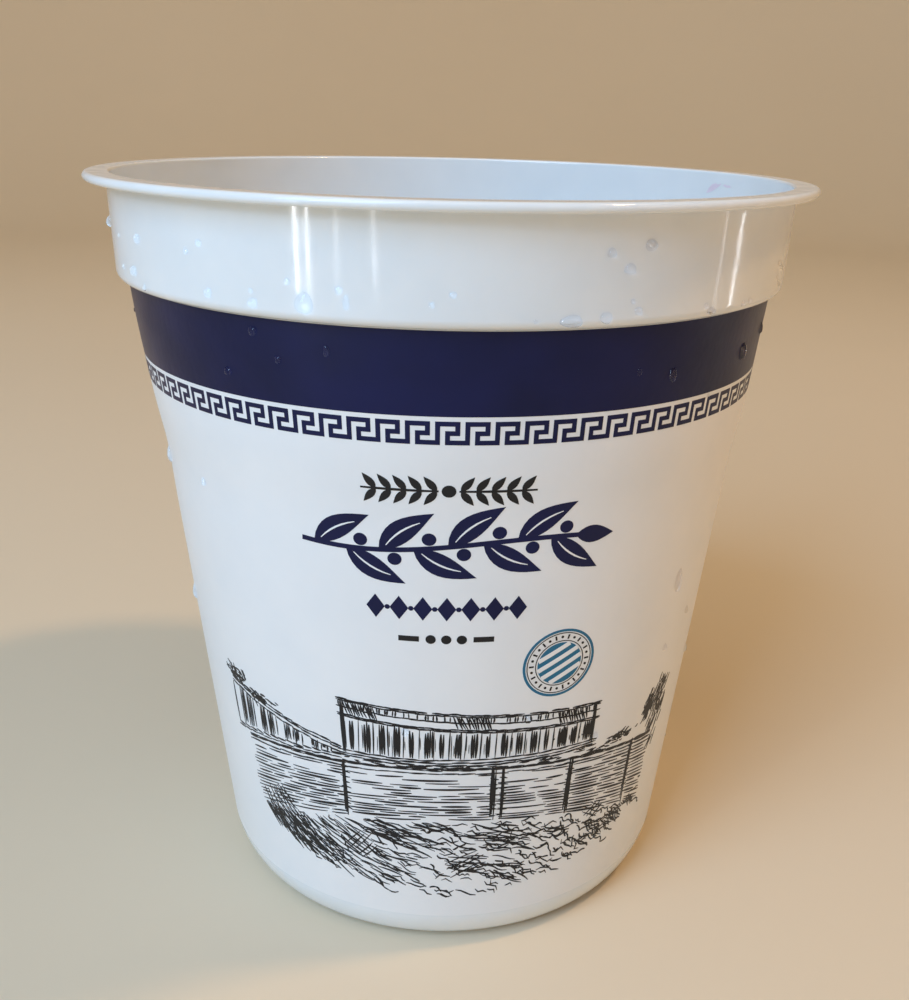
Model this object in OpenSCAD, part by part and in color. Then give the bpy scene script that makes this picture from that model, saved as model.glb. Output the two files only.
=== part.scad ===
// Open one-kilogram yogurt pot, moulded in one shot of white polypropylene.
// The pot stands on the XY plane with its axis on Z, so the origin is the middle of its foot.
// Every wall is a surface of revolution: one outline, drawn as [radius, height], is turned once.

/* [Body] */
// Height from the table to the top of the rim
pot_h = 133.2; // [112:0.5:160]
// Body diameter where its straight side would meet the table
base_d = 86.6; // [72:0.1:104]
// Body diameter close under the collar
body_top_d = 115; // [96:0.1:138]
// Radius of the upper part of the base corner, next to the side
side_round = 12; // [8:0.5:16]
// Radius of the lower part of the base corner, next to the table
foot_round = 5.4; // [3:0.1:8]
// Angle below level at which one radius hands over to the other
corner_turn = 31; // [20:1:60]
// Thickness of the moulded wall
wall = 0.65; // [0.5:0.05:0.9]

/* [Soft step in the side] */
// How far the side is set in below the step
step_in = 0.62; // [0:0.02:1.2]
// Drop from the top of the rim to the middle of the step
step_drop = 42.8; // [34:0.2:52]
// Height over which the step fades in
step_h = 14; // [8:0.5:20]

/* [Collar] */
// Height from the collar's shoulder to the top of the rim
collar_h = 17.7; // [14:0.1:22]
// How far the shoulder stands out from the body
shoulder_reach = 2; // [1.6:0.1:3]
// How much wider the collar's radius is at the rim than at the shoulder
collar_flare = 0.9; // [0:0.1:1.5]
// Radius of the shoulder's outer corner
shoulder_round = 1.6; // [1:0.1:1.9]

/* [Rim] */
// How far the flat rim reaches out beyond the collar
rim_reach = 3.7; // [2.5:0.1:5]
// Thickness of the flat rim
rim_t = 1.48; // [1:0.02:2]
// Radius of the mouth's inner edge
mouth_round = 0.5; // [0.2:0.05:0.6]

/* [Foot] */
// Width of the flat ring that stands on the table
foot_w = 2.4; // [1.5:0.1:4]
// Height of the base panel above the table
base_lift = 1.2; // [0.6:0.1:2]
// Width of the slope between the foot ring and the base panel
lift_run = 2.6; // [1.5:0.1:4]

/* [Hidden] */

ROUND_STEPS = 8;  // straight pieces in each rounded corner
STEP_STEPS = 12;  // straight pieces in the soft step
CIRCLE_STEPS = 180;

base_r = base_d / 2;
body_top_r = body_top_d / 2;
shoulder_z = pot_h - collar_h;
step_z = pot_h - step_drop;
rim_under_z = pot_h - rim_t;

// The side leans out by this much radius for each millimetre of height.
side_lean = (body_top_r - step_in - base_r) / shoulder_z;
side_angle = atan(side_lean);

collar_low_r = body_top_r + shoulder_reach;
collar_top_r = collar_low_r + collar_flare;
rim_r = collar_top_r + rim_reach;
mouth_r = collar_top_r - wall;

// The base corner is two arcs that share a tangent. The upper one starts at the leaning side, and the
// lower one ends on the table, at foot_r.
round_gap = side_round - foot_round;
upper_z = foot_round + round_gap * sin(corner_turn);
upper_r = base_r + side_lean * upper_z - side_round / cos(side_angle);
foot_r = upper_r + round_gap * cos(corner_turn);
foot_in_r = foot_r - foot_w;
panel_r = foot_in_r - lift_run;

// From 0 at t = 0 to 1 at t = 1, level at both ends.
function eased(t) = t * t * (3 - 2 * t);

// The body's outer radius at height z, with the soft step eased in.
function side_r(z) =
    let (t = max(0, min(1, (z - step_z) / step_h + 0.5)))
    base_r + side_lean * z + step_in * eased(t);

// Points on an arc about [r, z], from one angle to another.
function arc(r, z, radius, from, to) =
    [for (i = [0:ROUND_STEPS])
        let (a = from + (to - from) * i / ROUND_STEPS)
        [r + radius * cos(a), z + radius * sin(a)]];

// The base corner from the table up to the side, inset by a wall or by nothing.
function base_corner(inset) = concat(
    arc(foot_r, foot_round, foot_round - inset, -90, -corner_turn),
    arc(upper_r, upper_z, side_round - inset, -corner_turn, -side_angle));

// The side from the step's foot to its top, inset by a wall or by nothing.
function step_line(inset) =
    [for (i = [0:STEP_STEPS])
        let (z = step_z + step_h * (i / STEP_STEPS - 0.5))
        [side_r(z) - inset, z]];

// From the middle of the base panel, over the foot, up the side and out to the rim's edge.
function outside() = concat(
    [[0, base_lift], [panel_r, base_lift], [foot_in_r, 0]],
    base_corner(0),
    step_line(0),
    [[side_r(shoulder_z), shoulder_z]],
    arc(collar_low_r - shoulder_round, shoulder_z + shoulder_round, shoulder_round, -90, 0),
    [[collar_top_r, rim_under_z]],
    arc(rim_r - rim_t / 2, pot_h - rim_t / 2, rim_t / 2, -90, 90));

// The same points, in the opposite order.
function reversed(points) = [for (i = [len(points) - 1:-1:0]) points[i]];

// From the rim's flat top, over the mouth's edge and down the inside to the middle of the floor.
function inside() = concat(
    arc(mouth_r + mouth_round, pot_h - mouth_round, mouth_round, 90, 180),
    arc(collar_low_r - shoulder_round, shoulder_z + shoulder_round, shoulder_round - wall, 0, -90),
    [[side_r(shoulder_z) - wall, shoulder_z + wall]],
    reversed(step_line(wall)),
    reversed(base_corner(wall)),
    [[foot_in_r, wall], [panel_r, base_lift + wall], [0, base_lift + wall]]);

module pot() {
    color("ghostwhite")
        rotate_extrude($fn = CIRCLE_STEPS)
            polygon(concat(outside(), inside()));
}

pot();
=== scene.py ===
# %% [markdown]
# # An empty yogurt pot, just rinsed
# The real pot is one thin shell of white polypropylene, shot into a mould that already holds a printed
# label, so label and wall leave the mould as one piece. This lesson builds it the same way: the shell
# first, then the label film that hugs it, then each ink on the film, then the rinsing water, and last the
# studio. Lengths are written in millimetres, as on a drawing, and turned to metres by one factor.

# %% Load the fixed frame
import math
import random

import bmesh
import bpy
from mathutils import Matrix, Vector


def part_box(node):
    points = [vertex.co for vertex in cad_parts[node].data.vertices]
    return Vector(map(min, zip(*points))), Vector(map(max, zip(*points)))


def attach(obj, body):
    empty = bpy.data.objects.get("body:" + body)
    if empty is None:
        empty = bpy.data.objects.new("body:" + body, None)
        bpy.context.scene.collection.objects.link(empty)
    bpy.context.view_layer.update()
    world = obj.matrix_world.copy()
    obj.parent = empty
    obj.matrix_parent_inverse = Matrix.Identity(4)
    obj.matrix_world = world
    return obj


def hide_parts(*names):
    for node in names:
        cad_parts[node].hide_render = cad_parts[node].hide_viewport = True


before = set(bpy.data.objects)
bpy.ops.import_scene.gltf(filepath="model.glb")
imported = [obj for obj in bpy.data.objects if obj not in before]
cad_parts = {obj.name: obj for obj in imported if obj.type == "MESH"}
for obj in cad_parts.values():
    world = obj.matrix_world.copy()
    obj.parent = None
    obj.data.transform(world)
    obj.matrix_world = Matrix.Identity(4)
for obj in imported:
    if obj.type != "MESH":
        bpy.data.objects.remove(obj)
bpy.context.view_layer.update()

MM = 0.001
pot_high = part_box("pot")[1]
POT_H = pot_high.z / MM
RIM_R = pot_high.x / MM
print(f"the frame's pot is {POT_H:.1f} mm high and {2 * RIM_R:.1f} mm across its rim")

# %% [markdown]
# ## The camera
# The pot was looked at from close by and from a little above its rim, which is why the mouth is a thin
# ellipse while the base curves strongly. The camera stands that near too: moving it back and zooming in
# would flatten the curves. It is made first, so that every later step can be judged through it.

# %% Camera
EYE = Vector((0, -205.15, 144.47)) * MM
LOOK_DOWN = 0.3029
LOOK_RIGHT = 0.0234
ROLL = 0.0258
LENS = 39.317
SHIFT = -0.0197, -0.0504

camera_data = bpy.data.cameras.new("camera")
camera_data.lens = LENS
camera_data.sensor_width = 36
camera_data.shift_x, camera_data.shift_y = SHIFT
camera_data.clip_start = 0.01
camera = bpy.data.objects.new("camera", camera_data)
turned = Matrix.Rotation(-LOOK_RIGHT, 4, "Z") @ Matrix.Rotation(math.pi / 2 - LOOK_DOWN, 4, "X")
camera.matrix_world = Matrix.Translation(EYE) @ turned @ Matrix.Rotation(ROLL, 4, "Z")
bpy.context.scene.collection.objects.link(camera)
bpy.context.scene.camera = camera
print(f"camera {EYE.length / MM:.0f} mm from the middle of the foot, lens {LENS} mm")

# %% [markdown]
# ## The pot's sizes
# These are the sizes that the construction uses. The side is a plain cone with one soft step in it: the
# wall is set in a little below the border, which keeps two nested pots from jamming. A function gives the
# side's radius at any height, and the shell, the label, the inks and the drops all ask it, so they can't
# drift apart.

# %% Sizes and the side's radius
BASE_R = 43.3
BODY_TOP_R = 57.5
SIDE_ROUND = 12
FOOT_ROUND = 5.4
CORNER_TURN = math.radians(31)
WALL = 0.65
STEP_IN = 0.62
STEP_Z = POT_H - 42.8
STEP_H = 14
SHOULDER_Z = POT_H - 17.7
SHOULDER_REACH = 2
SHOULDER_ROUND = 1.6
COLLAR_FLARE = 0.9
RIM_T = 1.48
MOUTH_ROUND = 0.5
FOOT_W = 2.4
BASE_LIFT = 1.2
LIFT_RUN = 2.6

LEAN = (BODY_TOP_R - STEP_IN - BASE_R) / SHOULDER_Z
LEAN_ANGLE = math.atan(LEAN)
ROUND_GAP = SIDE_ROUND - FOOT_ROUND
UPPER_Z = FOOT_ROUND + ROUND_GAP * math.sin(CORNER_TURN)
UPPER_R = BASE_R + LEAN * UPPER_Z - SIDE_ROUND / math.cos(LEAN_ANGLE)
FOOT_R = UPPER_R + ROUND_GAP * math.cos(CORNER_TURN)
SIDE_Z = UPPER_Z - SIDE_ROUND * math.sin(LEAN_ANGLE)
COLLAR_LOW_R = BODY_TOP_R + SHOULDER_REACH
COLLAR_TOP_R = COLLAR_LOW_R + COLLAR_FLARE
MOUTH_R = COLLAR_TOP_R - WALL


def eased(t):
    t = min(1, max(0, t))
    return t * t * (3 - 2 * t)


def side_r(z):
    return BASE_R + LEAN * z + STEP_IN * eased((z - STEP_Z) / STEP_H + 0.5)


def collar_r(z):
    low = SHOULDER_Z + SHOULDER_ROUND
    return COLLAR_LOW_R + COLLAR_FLARE * (z - low) / (POT_H - RIM_T - low)


print(f"the side leans {math.degrees(LEAN_ANGLE):.1f} degrees,",
      f"from {side_r(SIDE_Z):.1f} to {side_r(SHOULDER_Z):.1f} mm")

# %% [markdown]
# ## A squeezed wall
# A wall this thin doesn't stay round once a hand has held it. On the left, the pot stands out by half a
# millimetre under the collar and is pressed in a little below the border. One function says by how much,
# and every place on the pot goes through it.

# %% Out of round
HAND_ANGLE = -1.3
HAND_WIDTH = 0.6
BULGE, BULGE_Z = 0.55, 112
DENT, DENT_Z = 0.15, 86


def hump(z, middle, below, above):
    return eased(1 - abs(z - middle) / (below if z < middle else above))


def squeeze(angle, z):
    turn = (angle - HAND_ANGLE + math.pi) % math.tau - math.pi
    out = BULGE * hump(z, BULGE_Z, 20, 40) - DENT * hump(z, DENT_Z, 12, 8)
    return math.exp(-(turn / HAND_WIDTH) ** 2) * out


def on_pot(angle, radius, z):
    """A point in metres. Angle 0 is the front of the label, and it grows to the viewer's right."""
    radius += squeeze(angle, z)
    return Vector((radius * math.sin(angle), -radius * math.cos(angle), z)) * MM


def press_out_of_round(bm):
    for vert in bm.verts:
        x, y, z = vert.co / MM
        if math.hypot(x, y) > BASE_R / 2:
            vert.co = on_pot(math.atan2(x, -y), math.hypot(x, y), z)


print(f"the wall stands out by {squeeze(HAND_ANGLE, BULGE_Z):.2f} mm",
      f"and is pressed in by {-squeeze(HAND_ANGLE, DENT_Z):.2f} mm")

# %% [markdown]
# ## Helpers for meshes
# Two helpers serve every piece. The first turns a finished bmesh into an object that rides on the pot, with
# its real edges kept sharp: smooth shading across the cut edge of a film would show as a false glow. The
# second turns an outline round the Z axis: a revolved shell could also come from a Screw modifier, but
# spin gives a mesh that can be shaped further at once. Its seam is merged and its normals are pointed
# outwards while it is still closed. Where a gap is asked for, as in a label that doesn't quite meet itself,
# the turn stops short, and the two open ends are filled. The gap is then at the back, unless it is turned.
# Points that lie within two thousandths of a millimetre of each other are merged.

# %% Mesh helpers
SHARP = math.radians(35)
MERGE = 0.002 * MM


def finish_piece(name, bm, material, smooth=True):
    mesh = bpy.data.meshes.new(name)
    for face in bm.faces:
        face.smooth = smooth
    for edge in bm.edges:
        edge.smooth = edge.calc_face_angle(0) < SHARP
    bm.to_mesh(mesh)
    bm.free()
    mesh.materials.append(material)
    piece = bpy.data.objects.new(name, mesh)
    bpy.context.scene.collection.objects.link(piece)
    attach(piece, "root")
    print(f"{name}: {len(mesh.polygons)} faces")
    return piece


def spin_outline(outline, steps, closed, gap=0.0, turn=0.0):
    bm = bmesh.new()
    verts = [bm.verts.new((r * MM, 0, z * MM)) for r, z in outline]
    pairs = list(zip(verts, verts[1:]))
    if closed:
        pairs.append((verts[-1], verts[0]))
    edges = [bm.edges.new(pair) for pair in pairs]
    bmesh.ops.spin(bm, geom=verts + edges, cent=(0, 0, 0), axis=(0, 0, 1),
                   angle=math.tau - gap, steps=steps, use_merge=not gap)
    bmesh.ops.remove_doubles(bm, verts=bm.verts, dist=MERGE)
    if gap:
        bmesh.ops.holes_fill(bm, edges=[edge for edge in bm.edges if edge.is_boundary])
        turned = Matrix.Rotation((math.pi + gap) / 2 + turn, 3, "Z")
        bmesh.ops.rotate(bm, verts=bm.verts, matrix=turned)
    bmesh.ops.recalc_face_normals(bm, faces=bm.faces)
    return bm


# %% [markdown]
# ## Helpers for materials
# A hex colour is what a screen shows, and a shader wants light, so one function does the conversion. The
# other adds one node with its settings and its links, which keeps each material below down to the lines
# that say what it is. Noise scales are counted per metre, so a pattern of a given size in millimetres has
# a scale of one over that size.

# %% Material helpers
def linear(hex_colour):
    values = [int(hex_colour[i:i + 2], 16) / 255 for i in (1, 3, 5)]
    return [v / 12.92 if v <= 0.04045 else ((v + 0.055) / 1.055) ** 2.4 for v in values] + [1]


def add(tree, kind, inputs=(), **settings):
    """Adds a node. An input is given a value, or linked where it is given another node's output."""
    node = tree.nodes.new(kind)
    for key, value in settings.items():
        setattr(node, key, value)
    for key, value in dict(inputs).items():
        if isinstance(value, bpy.types.NodeSocket):
            tree.links.new(value, node.inputs[key])
        else:
            node.inputs[key].default_value = value
    return node


def new_material(name):
    material = bpy.data.materials.new(name)
    material.use_nodes = True
    material.node_tree.nodes.clear()
    return material, material.node_tree


def per_mm(size):
    return 1 / (size * MM)


# %% [markdown]
# ### Polypropylene, gloss moulded
# The collar, the rim and the inside are bare polypropylene from a polished mould. It is a bluish white, a
# little translucent, and its gloss is softer than that of glass because the melt shrinks away from the
# steel. Three things keep it from looking like paint: a trace of light that soaks in, a slow waviness that
# bends reflections, and gloss that varies where water has dried.

# %% Polypropylene material
def gloss_polypropylene():
    material, tree = new_material("polypropylene_gloss_moulded")
    place = add(tree, "ShaderNodeTexCoord").outputs["Object"]
    shrink = add(tree, "ShaderNodeTexNoise", {"Vector": place, "Scale": per_mm(9), "Detail": 2})
    dried = add(tree, "ShaderNodeTexNoise", {
        "Vector": place, "Scale": per_mm(3.5), "Detail": 5, "Roughness": 0.6})
    tone = add(tree, "ShaderNodeMapRange", {
        "Value": shrink.outputs["Fac"], "From Min": 0.3, "From Max": 0.7})
    colour = add(tree, "ShaderNodeMix", {
        "Factor": tone.outputs[0], "A": linear("#e4e9eb"), "B": linear("#dfe5e8")}, data_type="RGBA")
    gloss = add(tree, "ShaderNodeMapRange", {
        "Value": dried.outputs["Fac"], "From Min": 0.35, "From Max": 0.75, "To Min": 0.06, "To Max": 0.15})
    wave = add(tree, "ShaderNodeBump", {
        "Height": shrink.outputs["Fac"], "Strength": 0.12, "Distance": 0.35 * MM})
    shader = add(tree, "ShaderNodeBsdfPrincipled", {
        "Base Color": colour.outputs["Result"], "Roughness": gloss.outputs[0], "Normal": wave.outputs[0],
        "IOR": 1.49, "Subsurface Weight": 0.15, "Subsurface Radius": (1.0, 0.95, 0.85),
        "Subsurface Scale": 1.2 * MM})
    add(tree, "ShaderNodeOutputMaterial", {"Surface": shader.outputs[0]})
    return material


polypropylene = gloss_polypropylene()

# %% [markdown]
# ### The label and its inks
# The label is a white film of the same plastic, printed and lacquered before it goes into the mould. The
# hot melt shrinks behind it and leaves the satin, finely pebbled surface called orange peel, with bumps
# about a millimetre across. Ink lies under the same lacquer, so film and inks share one recipe, and only
# the colour and a little unevenness of the ink differ.

# %% Label materials
def label_film(name, light, dark, gloss_low=0.3, gloss_high=0.42, shine=0.5):
    material, tree = new_material(name)
    place = add(tree, "ShaderNodeTexCoord").outputs["Object"]
    peel = add(tree, "ShaderNodeTexNoise", {
        "Vector": place, "Scale": per_mm(1.3), "Detail": 1.5, "Roughness": 0.4})
    cloud = add(tree, "ShaderNodeTexNoise", {"Vector": place, "Scale": per_mm(14), "Detail": 3})
    tone = add(tree, "ShaderNodeMapRange", {
        "Value": cloud.outputs["Fac"], "From Min": 0.3, "From Max": 0.7})
    colour = add(tree, "ShaderNodeMix", {
        "Factor": tone.outputs[0], "A": linear(light), "B": linear(dark)}, data_type="RGBA")
    gloss = add(tree, "ShaderNodeMapRange", {
        "Value": cloud.outputs["Fac"], "From Min": 0.3, "From Max": 0.7,
        "To Min": gloss_low, "To Max": gloss_high})
    pebbles = add(tree, "ShaderNodeBump", {
        "Height": peel.outputs["Fac"], "Strength": 0.22, "Distance": 0.12 * MM})
    shader = add(tree, "ShaderNodeBsdfPrincipled", {
        "Base Color": colour.outputs["Result"], "Roughness": gloss.outputs[0], "Normal": pebbles.outputs[0],
        "IOR": 1.49, "Specular IOR Level": shine})
    add(tree, "ShaderNodeOutputMaterial", {"Surface": shader.outputs[0]})
    return material


white_film = label_film("label_film_white_satin", "#e8eaeb", "#e3e6e8")
navy_ink = label_film("gravure_ink_navy_lacquered", "#151b46", "#11173a", 0.28, 0.38, 0.2)
black_ink = label_film("gravure_ink_black_lacquered", "#17181b", "#202124", 0.32, 0.42, 0.28)
teal_ink = label_film("gravure_ink_teal_lacquered", "#156a8c", "#116086", 0.3, 0.4, 0.4)

# %% [markdown]
# ## The shell
# One outline runs up the outside and down the inside, with rounded corners as arcs, and is spun into a
# closed wall 0.65 mm thick. Long straight stretches are cut every few millimetres, so that the smooth
# shading stays true next to the tight corners, and so that the squeeze can bend them.

# %% Shell
ROUND_STEPS = 12
SHELL_STEPS = 240
ROW_H = 2.5
DOWN = -math.pi / 2
POLE_R = 0.001


def arc(r, z, radius, start, end):
    angles = [start + (end - start) * i / ROUND_STEPS for i in range(ROUND_STEPS + 1)]
    return [(r + radius * math.cos(a), z + radius * math.sin(a)) for a in angles]


def heights(low, high, step):
    count = max(1, round((high - low) / step))
    return [low + (high - low) * i / count for i in range(count + 1)]


def base_corner(inset):
    """From the table up to the side: two arcs that share a tangent."""
    return (arc(FOOT_R, FOOT_ROUND, FOOT_ROUND - inset, DOWN, -CORNER_TURN)[:-1]
            + arc(UPPER_R, UPPER_Z, SIDE_ROUND - inset, -CORNER_TURN, -LEAN_ANGLE))


def shell_outline():
    panel_r = FOOT_R - FOOT_W - LIFT_RUN
    corner = COLLAR_LOW_R - SHOULDER_ROUND, SHOULDER_Z + SHOULDER_ROUND
    rows = heights(SIDE_Z, SHOULDER_Z, ROW_H)[1:]
    collar_rows = heights(corner[1], POT_H - RIM_T, ROW_H)[1:]
    lip = RIM_R - RIM_T / 2, POT_H - RIM_T / 2
    outline = [(POLE_R, BASE_LIFT), (panel_r / 2, BASE_LIFT), (panel_r, BASE_LIFT), (FOOT_R - FOOT_W, 0)]
    outline += base_corner(0) + [(side_r(z), z) for z in rows]
    outline += arc(*corner, SHOULDER_ROUND, DOWN, 0) + [(collar_r(z), z) for z in collar_rows]
    outline += [(lip[0] - 0.1, POT_H - RIM_T)] + arc(*lip, RIM_T / 2, DOWN, -DOWN) + [(lip[0] - 0.1, POT_H)]
    outline += arc(MOUTH_R + MOUTH_ROUND, POT_H - MOUTH_ROUND, MOUTH_ROUND, -DOWN, math.pi)
    outline += [(collar_r(z) - WALL, z) for z in reversed(collar_rows[:-1])]
    outline += arc(*corner, SHOULDER_ROUND - WALL, 0, DOWN)
    outline += [(side_r(z) - WALL, z + WALL * (z == SHOULDER_Z)) for z in reversed(rows)]
    outline += list(reversed(base_corner(WALL)))
    outline += [(FOOT_R - FOOT_W, WALL), (panel_r, BASE_LIFT + WALL), (panel_r / 2, BASE_LIFT + WALL),
                (POLE_R, BASE_LIFT + WALL)]
    return outline


shell = spin_outline(shell_outline(), SHELL_STEPS, closed=False)
press_out_of_round(shell)
pot = finish_piece("pot_shell", shell, polypropylene)
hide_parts("pot")

# %% [markdown]
# ## The label film
# The film covers the body from the top of the base corner to just under the collar, and its two ends leave
# a hair's breadth of bare plastic between them. That seam is put on the side, between the front print and
# the back print, a whole number of the key border's repeats away from the back, so that the border still
# starts and ends on a full repeat. The film could be a second material on the shell, but its edges show as
# faint lines on the real pot, and a film of its own gives those lines, so it is modelled as a skin that
# stands a few hundredths of a millimetre proud.

# %% Label film
FILM_LOW = 7.0
FILM_HIGH = SHOULDER_Z - 0.2
FILM_LIFT = 0.02
SEAM = 0.5
ROLL_R = 50.0
SEAM_GAP = SEAM / ROLL_R
KEY_REPEATS = 81
SEAM_REPEATS = 20
SEAM_TURN = -SEAM_REPEATS * (math.tau - SEAM_GAP) / KEY_REPEATS


def film_outline(low, high, lift, bottom=-0.05, row=ROW_H):
    """A strip of the side's outline, as thick as from bottom to lift."""
    zs = heights(low, high, row)
    return [(side_r(z) + lift, z) for z in zs] + [(side_r(z) + bottom, z) for z in reversed(zs)]


film = spin_outline(film_outline(FILM_LOW, FILM_HIGH, FILM_LIFT), SHELL_STEPS, True, SEAM_GAP, SEAM_TURN)
press_out_of_round(film)
finish_piece("label_film", film, white_film)

# %% [markdown]
# ## The navy band
# A plain field of ink from the collar down. It is a film on the film.

# %% Navy band
BAND_LOW = 102.6
INK_LIFT = 0.06
INK_THICK = 0.06

band = spin_outline(film_outline(BAND_LOW, FILM_HIGH - 0.05, INK_LIFT, FILM_LIFT - 0.02), SHELL_STEPS,
                    True, SEAM_GAP, SEAM_TURN)
press_out_of_round(band)
finish_piece("navy_band", band, navy_ink)

# %% [markdown]
# ## Laying flat ink on the side
# Everything else in the print is drawn flat, as a printer does, with x along the label and y up, and then
# rolled round the pot. The roll turns x into an angle, measured on a cylinder of 50 mm radius, and asks
# the side for its radius. After it the ink gets its thickness from solidify, so each mark is a closed
# body. A pot like this carries the same drawing on its front and its back, so one flat drawing is rolled
# twice, with half a turn between.

# %% Rolling helpers
def roll_on(bm, turn=0.0, lift=INK_LIFT):
    for vert in bm.verts:
        vert.co = on_pot(turn + vert.co.x / ROLL_R, side_r(vert.co.y) + lift, vert.co.y)
    bmesh.ops.remove_doubles(bm, verts=bm.verts, dist=MERGE)
    bmesh.ops.solidify(bm, geom=bm.faces[:], thickness=INK_THICK * MM)
    return bm


def print_twice(name, flat, material, lift=INK_LIFT):
    for side, turn in (("front", 0), ("back", math.pi)):
        finish_piece(f"{name}_{side}", roll_on(flat.copy(), turn, lift), material, smooth=False)
    flat.free()


# %% [markdown]
# ## The key border
# The border is a running key, one line that folds back on itself and never breaks. On squared paper one
# repeat is six squares long and five high, so a grid with some of its squares taken out is the shortest
# way to draw it, and the whole ring is one grid.

# %% Key border
KEY_LENGTH = math.tau * ROLL_R - SEAM
KEY_HIGH = 5 * math.tau * side_r(100.5) / KEY_REPEATS / 6
KEY_TOP = BAND_LOW - KEY_HIGH / 5
KEY = ("#####.",
       "#...#.",
       "#.###.",
       "#.#...",
       "#.####")


def key_border():
    bm = bmesh.new()
    columns, rows = len(KEY[0]) * KEY_REPEATS, len(KEY)
    bmesh.ops.create_grid(bm, x_segments=columns, y_segments=rows, size=0.5)
    blank = []
    for face in bm.faces:
        spot = face.calc_center_median()
        column = int((spot.x + 0.5) * columns) % len(KEY[0])
        row = int((0.5 - spot.y) * rows)
        if KEY[row][column] != "#":
            blank.append(face)
    bmesh.ops.delete(bm, geom=blank, context="FACES")
    bmesh.ops.scale(bm, vec=(KEY_LENGTH, KEY_HIGH, 1), verts=bm.verts)
    bmesh.ops.translate(bm, vec=(0, KEY_TOP - KEY_HIGH / 2, 0), verts=bm.verts)
    return roll_on(bm, SEAM_TURN)


finish_piece("key_border", key_border(), navy_ink, smooth=False)

# %% [markdown]
# ## Marks of the pen
# The rest of the print is made of three kinds of mark. A strip is a narrow grid laid along a line, with a
# width and a sideways drift that change on the way, and it gives pen strokes and leaves alike. A dot is a
# filled circle, which four sides turn into a lozenge. A ring is a short line spun about a centre. The grid
# is cut about every two millimetres, because a longer square would dip into the round side of the pot.

# %% Strips, dots and rings
LONGEST_CUT = 2.2


def strip(bm, start, end, width_at, drift_at, steps, lanes=1):
    start, run = Vector(start), Vector(end) - Vector(start)
    side = Vector((-run.y, run.x)).normalized()
    for vert in bmesh.ops.create_grid(bm, x_segments=steps, y_segments=lanes, size=0.5)["verts"]:
        t, edge = vert.co.x + 0.5, vert.co.y
        vert.co = (start + run * t + side * (drift_at(t) + edge * width_at(t))).to_3d()


def stroke(bm, start, end, width, bow=0.0, sway=0.0, taper=0.6):
    """One pull of the pen: thinner at both ends, bowed to one side, or swaying to both."""
    longest = LONGEST_CUT / 2 if bow or sway else LONGEST_CUT
    steps = max(3 if taper else 1, math.ceil((Vector(end) - Vector(start)).length / longest))
    strip(bm, start, end, lambda t: width * (1 - taper * (2 * t - 1) ** 2),
          lambda t: bow * 4 * t * (1 - t) + sway * math.sin(math.tau * t), steps)


def leaf(bm, root, heading, length, width, bow=0.0, steps=10):
    tip = Vector(root) + length * Vector((math.cos(heading), math.sin(heading)))
    strip(bm, root, tip, lambda t: width * math.sin(math.pi * t ** 0.8),
          lambda t: bow * 4 * t * (1 - t), steps, lanes=2)


def dot(bm, centre, radius, sides=16, stretch=(1, 1)):
    shape = Matrix.Translation(Vector(centre).to_3d()) @ Matrix.Diagonal((*stretch, 1, 1))
    bmesh.ops.create_circle(bm, cap_ends=True, cap_tris=True, segments=sides, radius=radius, matrix=shape)


def ring(bm, centre, inner, outer, steps=48):
    cuts = max(1, math.ceil((outer - inner) / LONGEST_CUT))
    reach = [inner + (outer - inner) * i / cuts for i in range(cuts + 1)]
    line = [bm.verts.new((centre[0] + r, centre[1], 0)) for r in reach]
    edges = [bm.edges.new(pair) for pair in zip(line, line[1:])]
    bmesh.ops.spin(bm, geom=line + edges, cent=(*centre, 0), axis=(0, 0, 1), angle=math.tau, steps=steps,
                   use_merge=True)


# %% [markdown]
# ## A leafy sprig and three small ornaments
# Bold type would fill the middle of such a label. This pot carries no words, so a sprig takes the large
# place: leaves left and right of a waving stem, with a berry in every gap. Under and over it stand three
# rows of ornament: a strip of small leaves, a row of lozenges and a row of dots between two dashes.

# %% Sprig
STEM_START, STEM_END = -22, 20
STEM_Y = 81.4
STEM_WAVE, STEM_SWING = 9, 1.1
LEAF_EVERY = 5
LEAF_ANGLE = math.radians(34)


def stem_y(x):
    return STEM_Y + STEM_SWING * math.sin(x / STEM_WAVE)


def stem_slope(x):
    return math.atan(STEM_SWING / STEM_WAVE * math.cos(x / STEM_WAVE))


sprig = bmesh.new()
veins = bmesh.new()
for x in range(STEM_START, STEM_END, 2):
    stroke(sprig, (x, stem_y(x)), (x + 2.2, stem_y(x + 2.2)), 0.8, taper=0)
for count, x in enumerate(range(STEM_START + 2, STEM_END - 1, LEAF_EVERY)):
    up = -1 if count % 2 else 1
    heading = stem_slope(x + 4) + up * LEAF_ANGLE
    ray = Vector((math.cos(heading), math.sin(heading)))
    root = Vector((x, stem_y(x)))
    leaf(sprig, root, heading, 10.4, 3.7, up * 0.5)
    stroke(veins, root + ray * 1.4, root + ray * 7.8, 0.3, bow=up * 0.5)
    if x + 8 < STEM_END:
        dot(sprig, (x + 7.3, stem_y(x + 7.3) + up * 1.55), 1.05, 20)
leaf(sprig, (STEM_END - 1, stem_y(STEM_END - 1)), stem_slope(STEM_END), 6.4, 3)
VEIN_LIFT = INK_LIFT + 0.03
print_twice("sprig", sprig, navy_ink)
print_twice("sprig_veins", veins, white_film, VEIN_LIFT)

# %% Leaf strip, lozenges and dashes
TOP_ROW_Y = 90.8
LOZENGE_Y = 70.5
DASH_Y = 65.0

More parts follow.
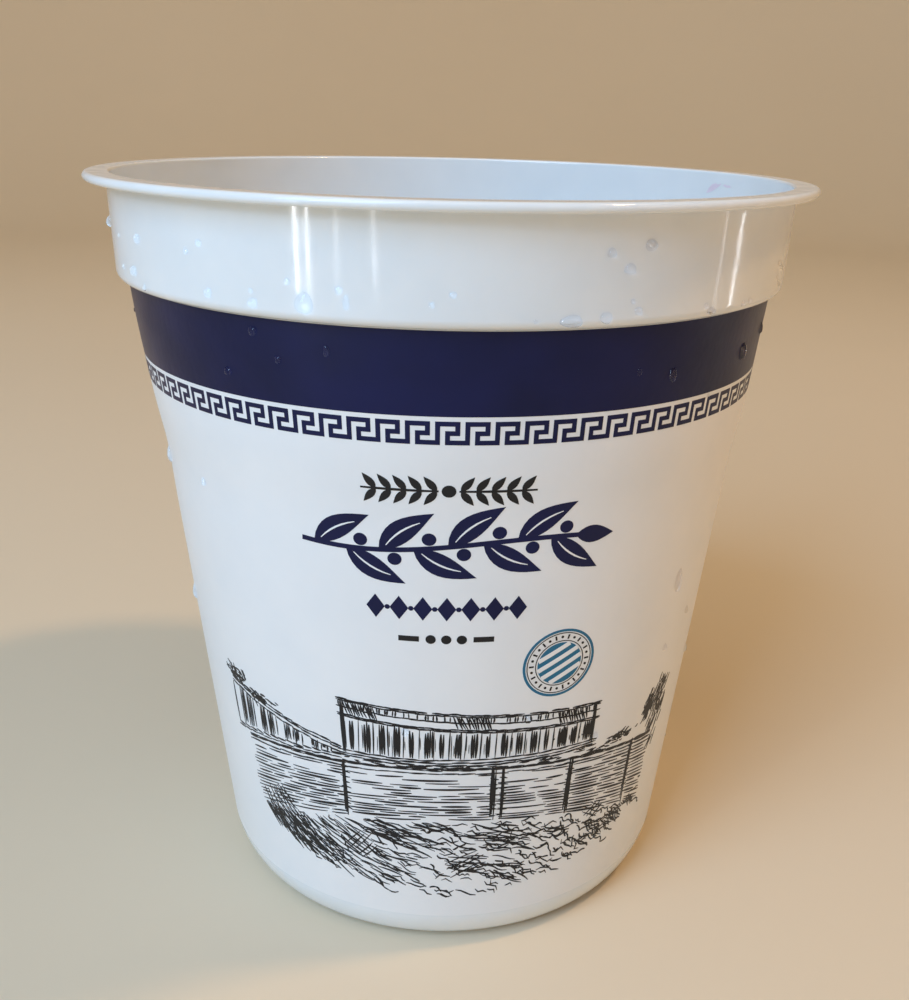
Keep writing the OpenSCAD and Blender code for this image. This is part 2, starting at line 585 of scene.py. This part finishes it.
small_black = bmesh.new()
dot(small_black, (0, TOP_ROW_Y), 1.0, 20)
for outwards in (-1, 1):
    for count in range(5):
        root = outwards * (1.6 + 2.1 * count), TOP_ROW_Y
        for up in (-1, 1):
            heading = math.radians(52) * up if outwards > 0 else math.pi - math.radians(52) * up
            leaf(small_black, root, heading, 3.0, 1.15, steps=6)
    stroke(small_black, (outwards * 1.4, TOP_ROW_Y), (outwards * 12.2, TOP_ROW_Y), 0.4, taper=0.3)
    stroke(small_black, (outwards * 4.2, DASH_Y), (outwards * 7.4, DASH_Y), 0.95, taper=0)
for x in (-2.4, 0, 2.4):
    dot(small_black, (x, DASH_Y), 0.8)
print_twice("ornament_black", small_black, black_ink)

lozenges = bmesh.new()
for count in range(7):
    x = 3.6 * (count - 3)
    dot(lozenges, (x, LOZENGE_Y), 2.1, 4, (0.68, 1))
    if count < 6:
        dot(lozenges, (x + 1.8, LOZENGE_Y), 0.42, 12)
print_twice("ornament_navy", lozenges, navy_ink)

# %% [markdown]
# ## The round badge
# A badge of rings sits to the right, under the ornaments: a teal ring, two thin dark rings with beads and
# bars between them, as round a dial, and a teal disc with slanted white bars. The bars are laid over the
# disc as white marks a little higher than the ink.

# %% Badge
BADGE = 18.8, 59.0
BADGE_TILT = math.radians(28)
DISC_R = 3.9
BADGE_MARKS = 28

badge_teal = bmesh.new()
ring(badge_teal, BADGE, 5.95, 6.4)
ring(badge_teal, BADGE, 0, DISC_R)
print_twice("badge_teal", badge_teal, teal_ink)

badge_black = bmesh.new()
ring(badge_black, BADGE, 5.6, 5.75)
ring(badge_black, BADGE, 4.15, 4.3)
for count in range(BADGE_MARKS):
    turn = count * math.tau / BADGE_MARKS
    ray = Vector((math.cos(turn), math.sin(turn)))
    if count % 2:
        dot(badge_black, Vector(BADGE) + ray * 4.95, 0.24, 10)
    else:
        stroke(badge_black, Vector(BADGE) + ray * 4.55, Vector(BADGE) + ray * 5.35, 0.3, taper=0)
print_twice("badge_black", badge_black, black_ink)

badge_white = bmesh.new()
along = Vector((math.cos(BADGE_TILT), math.sin(BADGE_TILT)))
across = Vector((-along.y, along.x))
for level in (-2.45, -0.8, 0.85, 2.5):
    half = math.sqrt(DISC_R ** 2 - level ** 2)
    middle = Vector(BADGE) + across * level
    stroke(badge_white, middle - along * half, middle + along * half, 0.8, taper=0)
print_twice("badge_white", badge_white, white_film, VEIN_LIFT)

# %% [markdown]
# ## A drawing in hatched pen strokes
# The lower half of the label carries a pen drawing. Its layout is the real label's: a row of columns on a
# long wall, low buildings to the left, trees to the right and a rough slope below, each in about its real
# place and as dark. The building is a plain invented one, with even columns under a flat beam, and so is
# every stroke: a seeded chance moves each one a little, as a hand would. Curves say where the wall's top
# and foot and the end of the slope lie, and every part of the drawing asks them.

# %% Lines that the drawing hangs on
pen = random.Random(11)
drawing = bmesh.new()
DRAWING_LEFT = -41
ROW_LEFT, ROW_RIGHT = -17.6, 27
COLUMNS_FOOT = 41.6


def wall_top(x):
    return 39.6 - 3.6 * (x / 45) ** 2


def wall_foot(x):
    return 28.6 - 7.5 * (x / 45) ** 2


def slope_end(x):
    return 12.4 + 0.0062 * x * x


def row_top(x):
    return 51.8 - 0.06 * (x - ROW_LEFT)


def chance(low, high):
    return pen.uniform(low, high)


def hatch(start, end, width=0.3, loose=0.25):
    """A stroke whose ends and bend are left a little to chance."""
    first, last = (Vector(end_point) + Vector((chance(-loose, loose), chance(-loose, loose)))
                   for end_point in (start, end))
    stroke(drawing, first, last, width * chance(0.75, 1.25), bow=chance(-loose, loose) * 0.6)


# %% The row of columns
COLUMNS = 17
PITCH = (ROW_RIGHT - ROW_LEFT) / COLUMNS
for count in range(COLUMNS):
    left = ROW_LEFT + PITCH * count
    head = row_top(left) - 3.4
    dark = left + PITCH * 0.48
    hatch((left + 0.1, COLUMNS_FOOT), (left + 0.2, head), 0.25, 0.1)
    hatch((left, head), (left + PITCH * 0.55, head), 0.35, 0.08)
    for lane in range(pen.choice((2, 3, 3, 4))):
        x = dark + lane * 0.4
        hatch((x, COLUMNS_FOOT + chance(0, 0.4)), (x + 0.05, head - chance(0, 0.9)), 0.46, 0.06)
    for lane in range(2):
        x = left + 0.4 + lane * 0.45
        if pen.random() < 0.6:
            hatch((x, COLUMNS_FOOT + chance(0, 2)), (x, head - chance(0.5, 3)), 0.16, 0.05)
for end in (ROW_LEFT - 0.3, ROW_RIGHT + 0.3):
    for lane in range(3):
        hatch((end + 0.2 * lane, COLUMNS_FOOT - 0.6), (end + 0.2 * lane, row_top(end) - 0.3), 0.35, 0.1)
for step in range(COLUMNS * 2):
    left = ROW_LEFT - 1 + (ROW_RIGHT - ROW_LEFT + 2) / (COLUMNS * 2) * step
    right = left + 2
    for below, width in ((0, 0.35), (0.35, 0.3), (1.6, 0.3), (3.0, 0.35), (3.35, 0.3)):
        if below or pen.random() < 0.8:
            hatch((left, row_top(left) - below), (right, row_top(right) - below), width, 0.1)
    for lane in range(2):
        if pen.random() < 0.75:
            x = left + 0.35 + 0.45 * lane
            hatch((x, row_top(x) - 0.4), (x, row_top(x) - 1.5), 0.3, 0.08)
for below in (0, 0.55, 1.1):
    for step in range(16):
        left = ROW_LEFT - 1.5 - below + 3 * step
        hatch((left, COLUMNS_FOOT - 0.2 - below), (left + 3.2, COLUMNS_FOOT - 0.2 - below), 0.35, 0.12)
for middle in (ROW_LEFT + 3, 4.5, ROW_RIGHT - 4.5):
    for lane in range(12):
        x = middle + 0.5 * (lane - 6)
        hatch((x, row_top(x) - 0.3), (x + 0.9, row_top(x) - 2.9), 0.32, 0.2)
print("row of columns:", len(drawing.faces), "faces of ink")

# %% The long wall
PANELS = ((-41, 0.75), (-17.9, 0.3), (8.9, 0.5), (23.6, 0.85), (39.3, 0.95), (46, 0))
ROWS = 20
for row in range(ROWS):
    down = (row + 0.5) / ROWS
    for (left, weight), (right, _) in zip(PANELS, PANELS[1:]):
        x = left + chance(0, 1.5)
        while x < right - 1:
            long = min(chance(3, 10), right - x)
            if pen.random() < weight + 0.8 * (down - 0.3):
                ends = [(at, wall_top(at) + (wall_foot(at) - wall_top(at)) * down) for at in (x, x + long)]
                hatch(*ends, chance(0.22, 0.42), 0.12)
            x += long + chance(0.2, 1.6)
for joint in (-17.9, 8.9, 10.6, 23.6, 39.3):
    for lane in range(4):
        x = joint + chance(-0.45, 0.45)
        hatch((x, wall_top(x) + 0.2), (x + chance(-0.2, 0.2), wall_foot(x) + chance(-0.3, 1.5)), 0.42, 0.15)
    for rung in range(9):
        y = wall_top(joint) - 1 - rung * 1.1
        hatch((joint - 0.8, y), (joint + 0.9, y - 0.2), 0.3, 0.2)
for step in range(30):
    left = DRAWING_LEFT + 2.9 * step
    for below, width in ((0, 0.45), (0.25, 0.3), (1.0, 0.3)):
        ends = [(at, wall_top(at) - below) for at in (left, left + 3.1)]
        hatch(*ends, width, 0.12)
print("with the wall:", len(drawing.faces), "faces of ink")

# %% Terrace, sheds and trees
for count in range(70):
    x = chance(ROW_LEFT - 2, ROW_RIGHT + 8)
    y = chance(wall_top(x) + 0.2, COLUMNS_FOOT - 1.2)
    hatch((x, y), (x + chance(0.8, 2.6), y + chance(-0.2, 0.2)), 0.28, 0.15)
for step in range(13):
    left = -44.5 + 2 * step
    roof = 47.6 - 0.215 * (left + 44.5)
    for below in (0, 0.5, 1.3):
        hatch((left, roof - below), (left + 2.2, roof - 0.45 - below), 0.35, 0.15)
    for lane in range(4 if step % 3 else 1):
        x = left + 0.2 + 0.4 * lane
        hatch((x, roof - 1.5), (x, wall_top(x) + 1.2 + chance(0, 1)), 0.35, 0.12)
    hatch((left, wall_top(left) + 1.4), (left + 2.1, wall_top(left) + 1.3), 0.35, 0.15)
    hatch((left, wall_top(left) + 0.7), (left + 2.1, wall_top(left) + 0.8), 0.3, 0.15)


def bush(middle, size, count, lean):
    for _ in range(count):
        turn, out = chance(0, math.tau), chance(0, 1)
        x = middle[0] + size[0] * out * math.cos(turn)
        y = middle[1] + size[1] * out * math.sin(turn)
        heading = lean + chance(-0.6, 0.6)
        far = chance(0.7, 2.2)
        end = x + far * math.cos(heading), y + far * math.sin(heading)
        stroke(drawing, (x, y), end, chance(0.25, 0.45), bow=chance(-0.4, 0.4))


bush((-42, 48), (2.8, 1.6), 40, 2.6)
bush((-36, 46.5), (4, 1.2), 26, -0.5)
bush((42.5, 41.5), (2, 3.2), 60, 1.2)
bush((46.5, 42.5), (2.2, 4.2), 46, 1.0)
bush((35, 39.4), (5, 0.8), 30, 0.3)
for count in range(34):
    x = chance(43.5, 49)
    y = chance(31, 44)
    hatch((x, y), (x + chance(0.6, 1.4), y + chance(1.5, 3.5)), 0.35, 0.2)
print("with the sheds and trees:", len(drawing.faces), "faces of ink")

# %% The rough slope
def flow(x):
    """The way the ground falls: to the right, and steeper towards both ends."""
    return math.radians(-12 - 0.7 * abs(x))


def run_down(x, y, far, width, bow, sway, loose):
    heading = flow(x) + chance(-loose, loose)
    end = x + far * math.cos(heading), y + far * math.sin(heading)
    stroke(drawing, (x, y), end, width, bow=bow, sway=sway)


def scribble(x, y, pieces, far, width):
    """A few connected strokes that wander, as broken ground is drawn."""
    spot = Vector((x, y))
    for _ in range(pieces):
        heading = flow(x) + chance(-0.9, 0.9)
        end = spot + far * chance(0.7, 1.3) * Vector((math.cos(heading), math.sin(heading)))
        stroke(drawing, spot, end, width, bow=chance(-0.35, 0.35), taper=0.3)
        spot = end


def on_slope(left, right, power=1.0):
    """A spot between the wall's foot and the slope's end; a power under 1 crowds the spots upwards."""
    x = chance(left, right)
    high, low = wall_foot(x) - 0.3, slope_end(x) + 0.4
    return x, low + (high - low) * chance(0, 1) ** power


for count in range(150):
    run_down(*on_slope(-39, -12, 0.9), chance(2.5, 6), chance(0.2, 0.36), chance(-0.3, 0.3), 0, 0.15)
for count in range(110):
    run_down(*on_slope(-16, 16, 0.6), chance(2, 6), chance(0.22, 0.36), chance(-0.5, 0.5),
             chance(-0.2, 0.2), 0.25)
for count in range(95):
    run_down(*on_slope(-4, 43), chance(1.8, 4.2), chance(0.28, 0.42), chance(-0.6, 0.6),
             chance(-0.55, 0.55), 0.5)
for count in range(70):
    scribble(*on_slope(-6, 43), pen.randint(2, 4), chance(0.9, 1.6), chance(0.26, 0.38))
for count in range(26):
    scribble(*on_slope(-33, -4), pen.randint(2, 3), chance(1, 1.7), chance(0.24, 0.36))


def crossed(middle, size, first, second, gap=0.95):
    """A shaded patch: two sets of parallel strokes over each other."""
    lanes = round(size[1] / gap)
    for heading in (first, second):
        along = Vector((math.cos(heading), math.sin(heading)))
        across = Vector((-along.y, along.x))
        for lane in range(lanes):
            start = Vector(middle) + across * gap * (lane - lanes / 2) - along * size[0] * chance(0.35, 0.55)
            hatch(start, start + along * size[0] * chance(0.7, 1.05), 0.26, 0.3)


crossed((-34, 25), (6, 8), -1.05, -0.5)
crossed((-27.5, 20.5), (8, 6), -0.85, -0.3)
crossed((-20.5, 18.6), (8, 4), -0.7, -0.1)
crossed((-15.5, 22.5), (6, 4.5), -0.5, 0.9)
crossed((-8, 25.4), (14, 3), -0.12, -0.4)
crossed((4, 19.5), (7, 4), 0.5, -0.15)
crossed((11, 25), (10, 2.4), -0.1, -0.3)
crossed((31, 25.5), (5, 3), 0.7, -0.6)
for count in range(30):
    x = chance(-35, 43)
    run_down(x, slope_end(x) + chance(-0.6, 0.8), chance(1.4, 3), 0.34, chance(-0.5, 0.5),
             chance(-0.3, 0.3), 0.4)
print("with the slope:", len(drawing.faces), "faces of ink")
print_twice("pen_drawing", drawing, black_ink)

# %% [markdown]
# ## Water
# The pot has just been rinsed. A drop on an upright wall is a flat cap of water that its own weight pulls
# down, so its lower end is the fuller one. Each starts as a ball whose pole points out of the wall; the
# half towards the wall is pressed flat and sunk into it, so no air shows under the water. Real drops this
# small throw more light than shade, so they cast no shadow here, and the water's colour is a shade darker
# than real water's, to help the drops show.

# %% Water material
def rinse_water():
    material, tree = new_material("rinsing_water")
    shader = add(tree, "ShaderNodeBsdfPrincipled", {
        "Base Color": linear("#ecebe9"), "Roughness": 0.02, "IOR": 1.333, "Transmission Weight": 1.0})
    add(tree, "ShaderNodeOutputMaterial", {"Surface": shader.outputs[0]})
    return material


# %% Drops
drops = bmesh.new()
wet = random.Random(5)


DROP_RISE = 0.36


def drop(degrees, z, width, height):
    wall = collar_r if z > SHOULDER_Z else side_r
    angle, radius = math.radians(degrees), wall(z)
    rise = DROP_RISE * min(width, height)
    phase = wet.uniform(0, math.tau)
    for vert in bmesh.ops.create_uvsphere(drops, u_segments=16, v_segments=10, radius=1)["verts"]:
        across, up, out = vert.co
        uneven = 1 + 0.07 * math.sin(3 * math.atan2(up, across) + phase)
        out = rise * out * (1 - 0.35 * up) if out > 0 else 0.06 * out
        spot = z + up * uneven * height / 2
        vert.co = on_pot(angle + across * uneven * width / 2 / radius, wall(spot) + out, spot)


# Each large drop: where round the pot in degrees, how high, its width and its height.
LARGE_DROPS = ((-20, 118.4, 2.8, 3.1), (-28, 117.7, 1.8, 1.5), (-36, 118.3, 1.5, 1.4), (-53, 124.3, 1.8, 1.5),
               (-56, 119, 2.2, 1.6), (-37, 125.3, 1.2, 1.1), (-15, 120.6, 1.2, 1.1), (-14, 118.9, 1, 2.2),
               (0, 120.6, 1.1, 0.9), (16, 116.9, 3.4, 1.8), (21, 117.2, 1.9, 1.7), (26, 117.9, 1.4, 1.2),
               (21, 126.2, 1.4, 1.4), (27, 127.1, 2, 1.7), (24, 123.9, 1.9, 1.6), (40, 116.8, 1.9, 1.2),
               (-30, 113.1, 1.5, 1.6), (-18, 111.4, 1.1, 1.9), (-36, 106.2, 1.5, 1.4), (-26, 109.3, 1.2, 1.3),
               (36, 107, 1.6, 2.4), (57, 107.8, 1.8, 3), (51, 67.5, 1.8, 4.6), (-69, 84.5, 1.8, 3),
               (-70, 57, 1.6, 3))
for place in LARGE_DROPS:
    drop(*place)
for count in range(16):
    drop(wet.uniform(-70, 70), wet.uniform(116.9, 124), *[wet.uniform(0.6, 1.1)] * 2)
for count in range(34):
    size = wet.uniform(0.6, 1.5)
    drop(wet.uniform(-180, 180), wet.uniform(20, 112), size, size * wet.uniform(1, 1.6))
for count in range(26):
    size = wet.uniform(0.8, 2.4)
    drop(wet.uniform(75, 285), wet.uniform(116.9, 128), size, size * wet.uniform(0.8, 1.2))
bmesh.ops.remove_doubles(drops, verts=drops.verts, dist=0.0005 * MM)
bmesh.ops.recalc_face_normals(drops, faces=drops.faces)
water = finish_piece("water_drops", drops, rinse_water())
water.visible_shadow = False

# %% [markdown]
# ## A smear of fruit
# One thing has escaped the rinsing: a faint pink smear inside the mouth, high up at the back on the right.
# It is a thin film on the inner wall. A leaf shape, rolled onto the wall with its face turned inwards,
# gives its two ends, and the stain's colour is uneven, because it dried from the edge.

# %% Smear
def dried_fruit():
    material, tree = new_material("dried_fruit_smear")
    place = add(tree, "ShaderNodeTexCoord").outputs["Object"]
    patchy = add(tree, "ShaderNodeTexNoise", {"Vector": place, "Scale": per_mm(1.4), "Detail": 3})
    colour = add(tree, "ShaderNodeMix", {
        "Factor": patchy.outputs["Fac"], "A": linear("#e6dfe8"), "B": linear("#dcc6d6")}, data_type="RGBA")
    shader = add(tree, "ShaderNodeBsdfPrincipled", {"Base Color": colour.outputs["Result"], "Roughness": 0.4})
    add(tree, "ShaderNodeOutputMaterial", {"Surface": shader.outputs[0]})
    return material


smear = bmesh.new()
SMEAR_START = 118, 128.8
inner_r = collar_r(SMEAR_START[1]) - WALL
leaf(smear, (0, 0), math.radians(28), 7.4, 1.5, 0.3)
leaf(smear, (4.6, 2.2), math.radians(-10), 3.4, 0.8)
for vert in smear.verts:
    x, z = vert.co.x, SMEAR_START[1] + vert.co.y
    vert.co = on_pot(math.radians(SMEAR_START[0]) - x / inner_r, collar_r(z) - WALL - 0.03, z)
bmesh.ops.remove_doubles(smear, verts=smear.verts, dist=MERGE)
bmesh.ops.solidify(smear, geom=smear.faces[:], thickness=INK_THICK * MM)
bmesh.ops.recalc_face_normals(smear, faces=smear.faces)
finish_piece("fruit_smear", smear, dried_fruit())

# %% [markdown]
# ## The studio
# A round cove of pale, warm board stands in for a table and a wall. It runs all the way round, so that
# the pot gets the same soft bounce whichever way the camera turns.

# %% Cove
def pale_board():
    material, tree = new_material("cove_board_matt_painted")
    place = add(tree, "ShaderNodeTexCoord").outputs["Object"]
    cloud = add(tree, "ShaderNodeTexNoise", {"Vector": place, "Scale": 3.0, "Detail": 4})
    colour = add(tree, "ShaderNodeMix", {
        "Factor": cloud.outputs["Fac"], "A": linear("#e2d3ba"), "B": linear("#ddcdb3")}, data_type="RGBA")
    shader = add(tree, "ShaderNodeBsdfPrincipled", {
        "Base Color": colour.outputs["Result"], "Roughness": 0.75})
    add(tree, "ShaderNodeOutputMaterial", {"Surface": shader.outputs[0]})
    return material


def cove():
    radius, bend, top = 1600, 500, 1500
    outline = [(POLE_R, 0), (300, 0), (radius - bend, 0)]
    outline += arc(radius - bend, bend, bend, DOWN, 0) + [(radius, top)]
    bm = spin_outline(outline, 96, closed=False)
    bmesh.ops.reverse_faces(bm, faces=bm.faces)
    mesh = bpy.data.meshes.new("cove")
    for face in bm.faces:
        face.smooth = True
    bm.to_mesh(mesh)
    bm.free()
    mesh.materials.append(pale_board())
    floor = bpy.data.objects.new("cove", mesh)
    bpy.context.scene.collection.objects.link(floor)


cove()

# %% [markdown]
# ## The lights
# A large cool window from the left front does most of the work, and a weak warm fill serves the right. A
# small warm lamp high on the right draws the rim's slanting shadow on the collar there, and a narrow gap of
# brighter sky beside the window puts a glint on the drops. A panel that lies on the floor on the right and
# shines upwards gives that side the warm bounce of a table; it is kept out of reflections, where its square
# shape would show. The ceiling lights the mouth and the rim, and one lamp is aimed at the backdrop.
#
# The streaks on the collar are narrow strips of light. The camera looks down a little, so an upright wall
# shows it what lies low: each strip therefore stands close by on the floor, where the collar mirrors it.

# %% Lights
def soft_light(name, place, aim, size, power, colour):
    data = bpy.data.lights.new(name, "AREA")
    data.shape = "RECTANGLE"
    data.size, data.size_y = (value * MM for value in size)
    data.energy = power
    data.color = linear(colour)[:3]
    light = bpy.data.objects.new(name, data)
    start, end = Vector(place) * MM, Vector(aim) * MM
    facing = (end - start).to_track_quat("-Z", "Y").to_matrix().to_4x4()
    light.matrix_world = Matrix.Translation(start) @ facing
    light.visible_camera = False
    bpy.context.scene.collection.objects.link(light)
    return light


STRIP_AWAY = 420
STRIP_HIGH = 70
STRIP_Z = Vector((0, 0, 36))


def streak(name, on_collar, towards, width, shine):
    """A strip of light that the collar mirrors at one angle; width is in degrees as the collar sees it."""
    start = on_pot(math.radians(on_collar), COLLAR_LOW_R, 0) / MM
    way = math.radians(towards)
    place = start + STRIP_AWAY * Vector((math.sin(way), -math.cos(way), 0))
    size = STRIP_AWAY * math.radians(width), STRIP_HIGH
    area = size[0] * size[1] * MM * MM
    soft_light(name, place + STRIP_Z, start + STRIP_Z, size, shine * math.pi * area, "#f4f9ff")


MIDDLE = (0, 0, 70)
soft_light("window_left", (-620, -810, 840), MIDDLE, (700, 900), 14, "#add6ff")
soft_light("window_gap", (-560, -690, 520), MIDDLE, (50, 70), 0.5, "#ffffff")
soft_light("room_right", (900, -500, 500), MIDDLE, (700, 700), 0.8, "#ffbe74")
soft_light("lamp_right", (500, -60, 940), MIDDLE, (80, 80), 2.9, "#ffcf95")
glow = soft_light("table_glow", (430, -60, 2), (430, -60, 100), (320, 520), 0.5, "#ffa858")
glow.visible_glossy = False
soft_light("ceiling", (-300, -300, 1150), MIDDLE, (800, 800), 2.6, "#f6f2ea")
soft_light("wall_wash", (0, 500, 900), (0, 1600, 350), (1200, 300), 2.2, "#ffd9a0")
streak("streak_left_thin", -20.6, -49.8, 0.5, 55)
streak("streak_left_wide", -19, -46, 1.3, 18)
streak("streak_left_faint", -15, -36.5, 1.5, 4)
streak("streak_middle", -10, -24.4, 1.3, 7)
streak("streak_right_thin", 40.7, 96, 0.4, 9)
streak("streak_right_wide", 44.7, 104.7, 1.2, 10)
world = bpy.data.worlds.new("room")
world.use_nodes = True
world.node_tree.nodes["Background"].inputs["Color"].default_value = linear("#f2e6d2")
world.node_tree.nodes["Background"].inputs["Strength"].default_value = 0.2
bpy.context.scene.world = world
bpy.context.scene.view_settings.view_transform = "Standard"
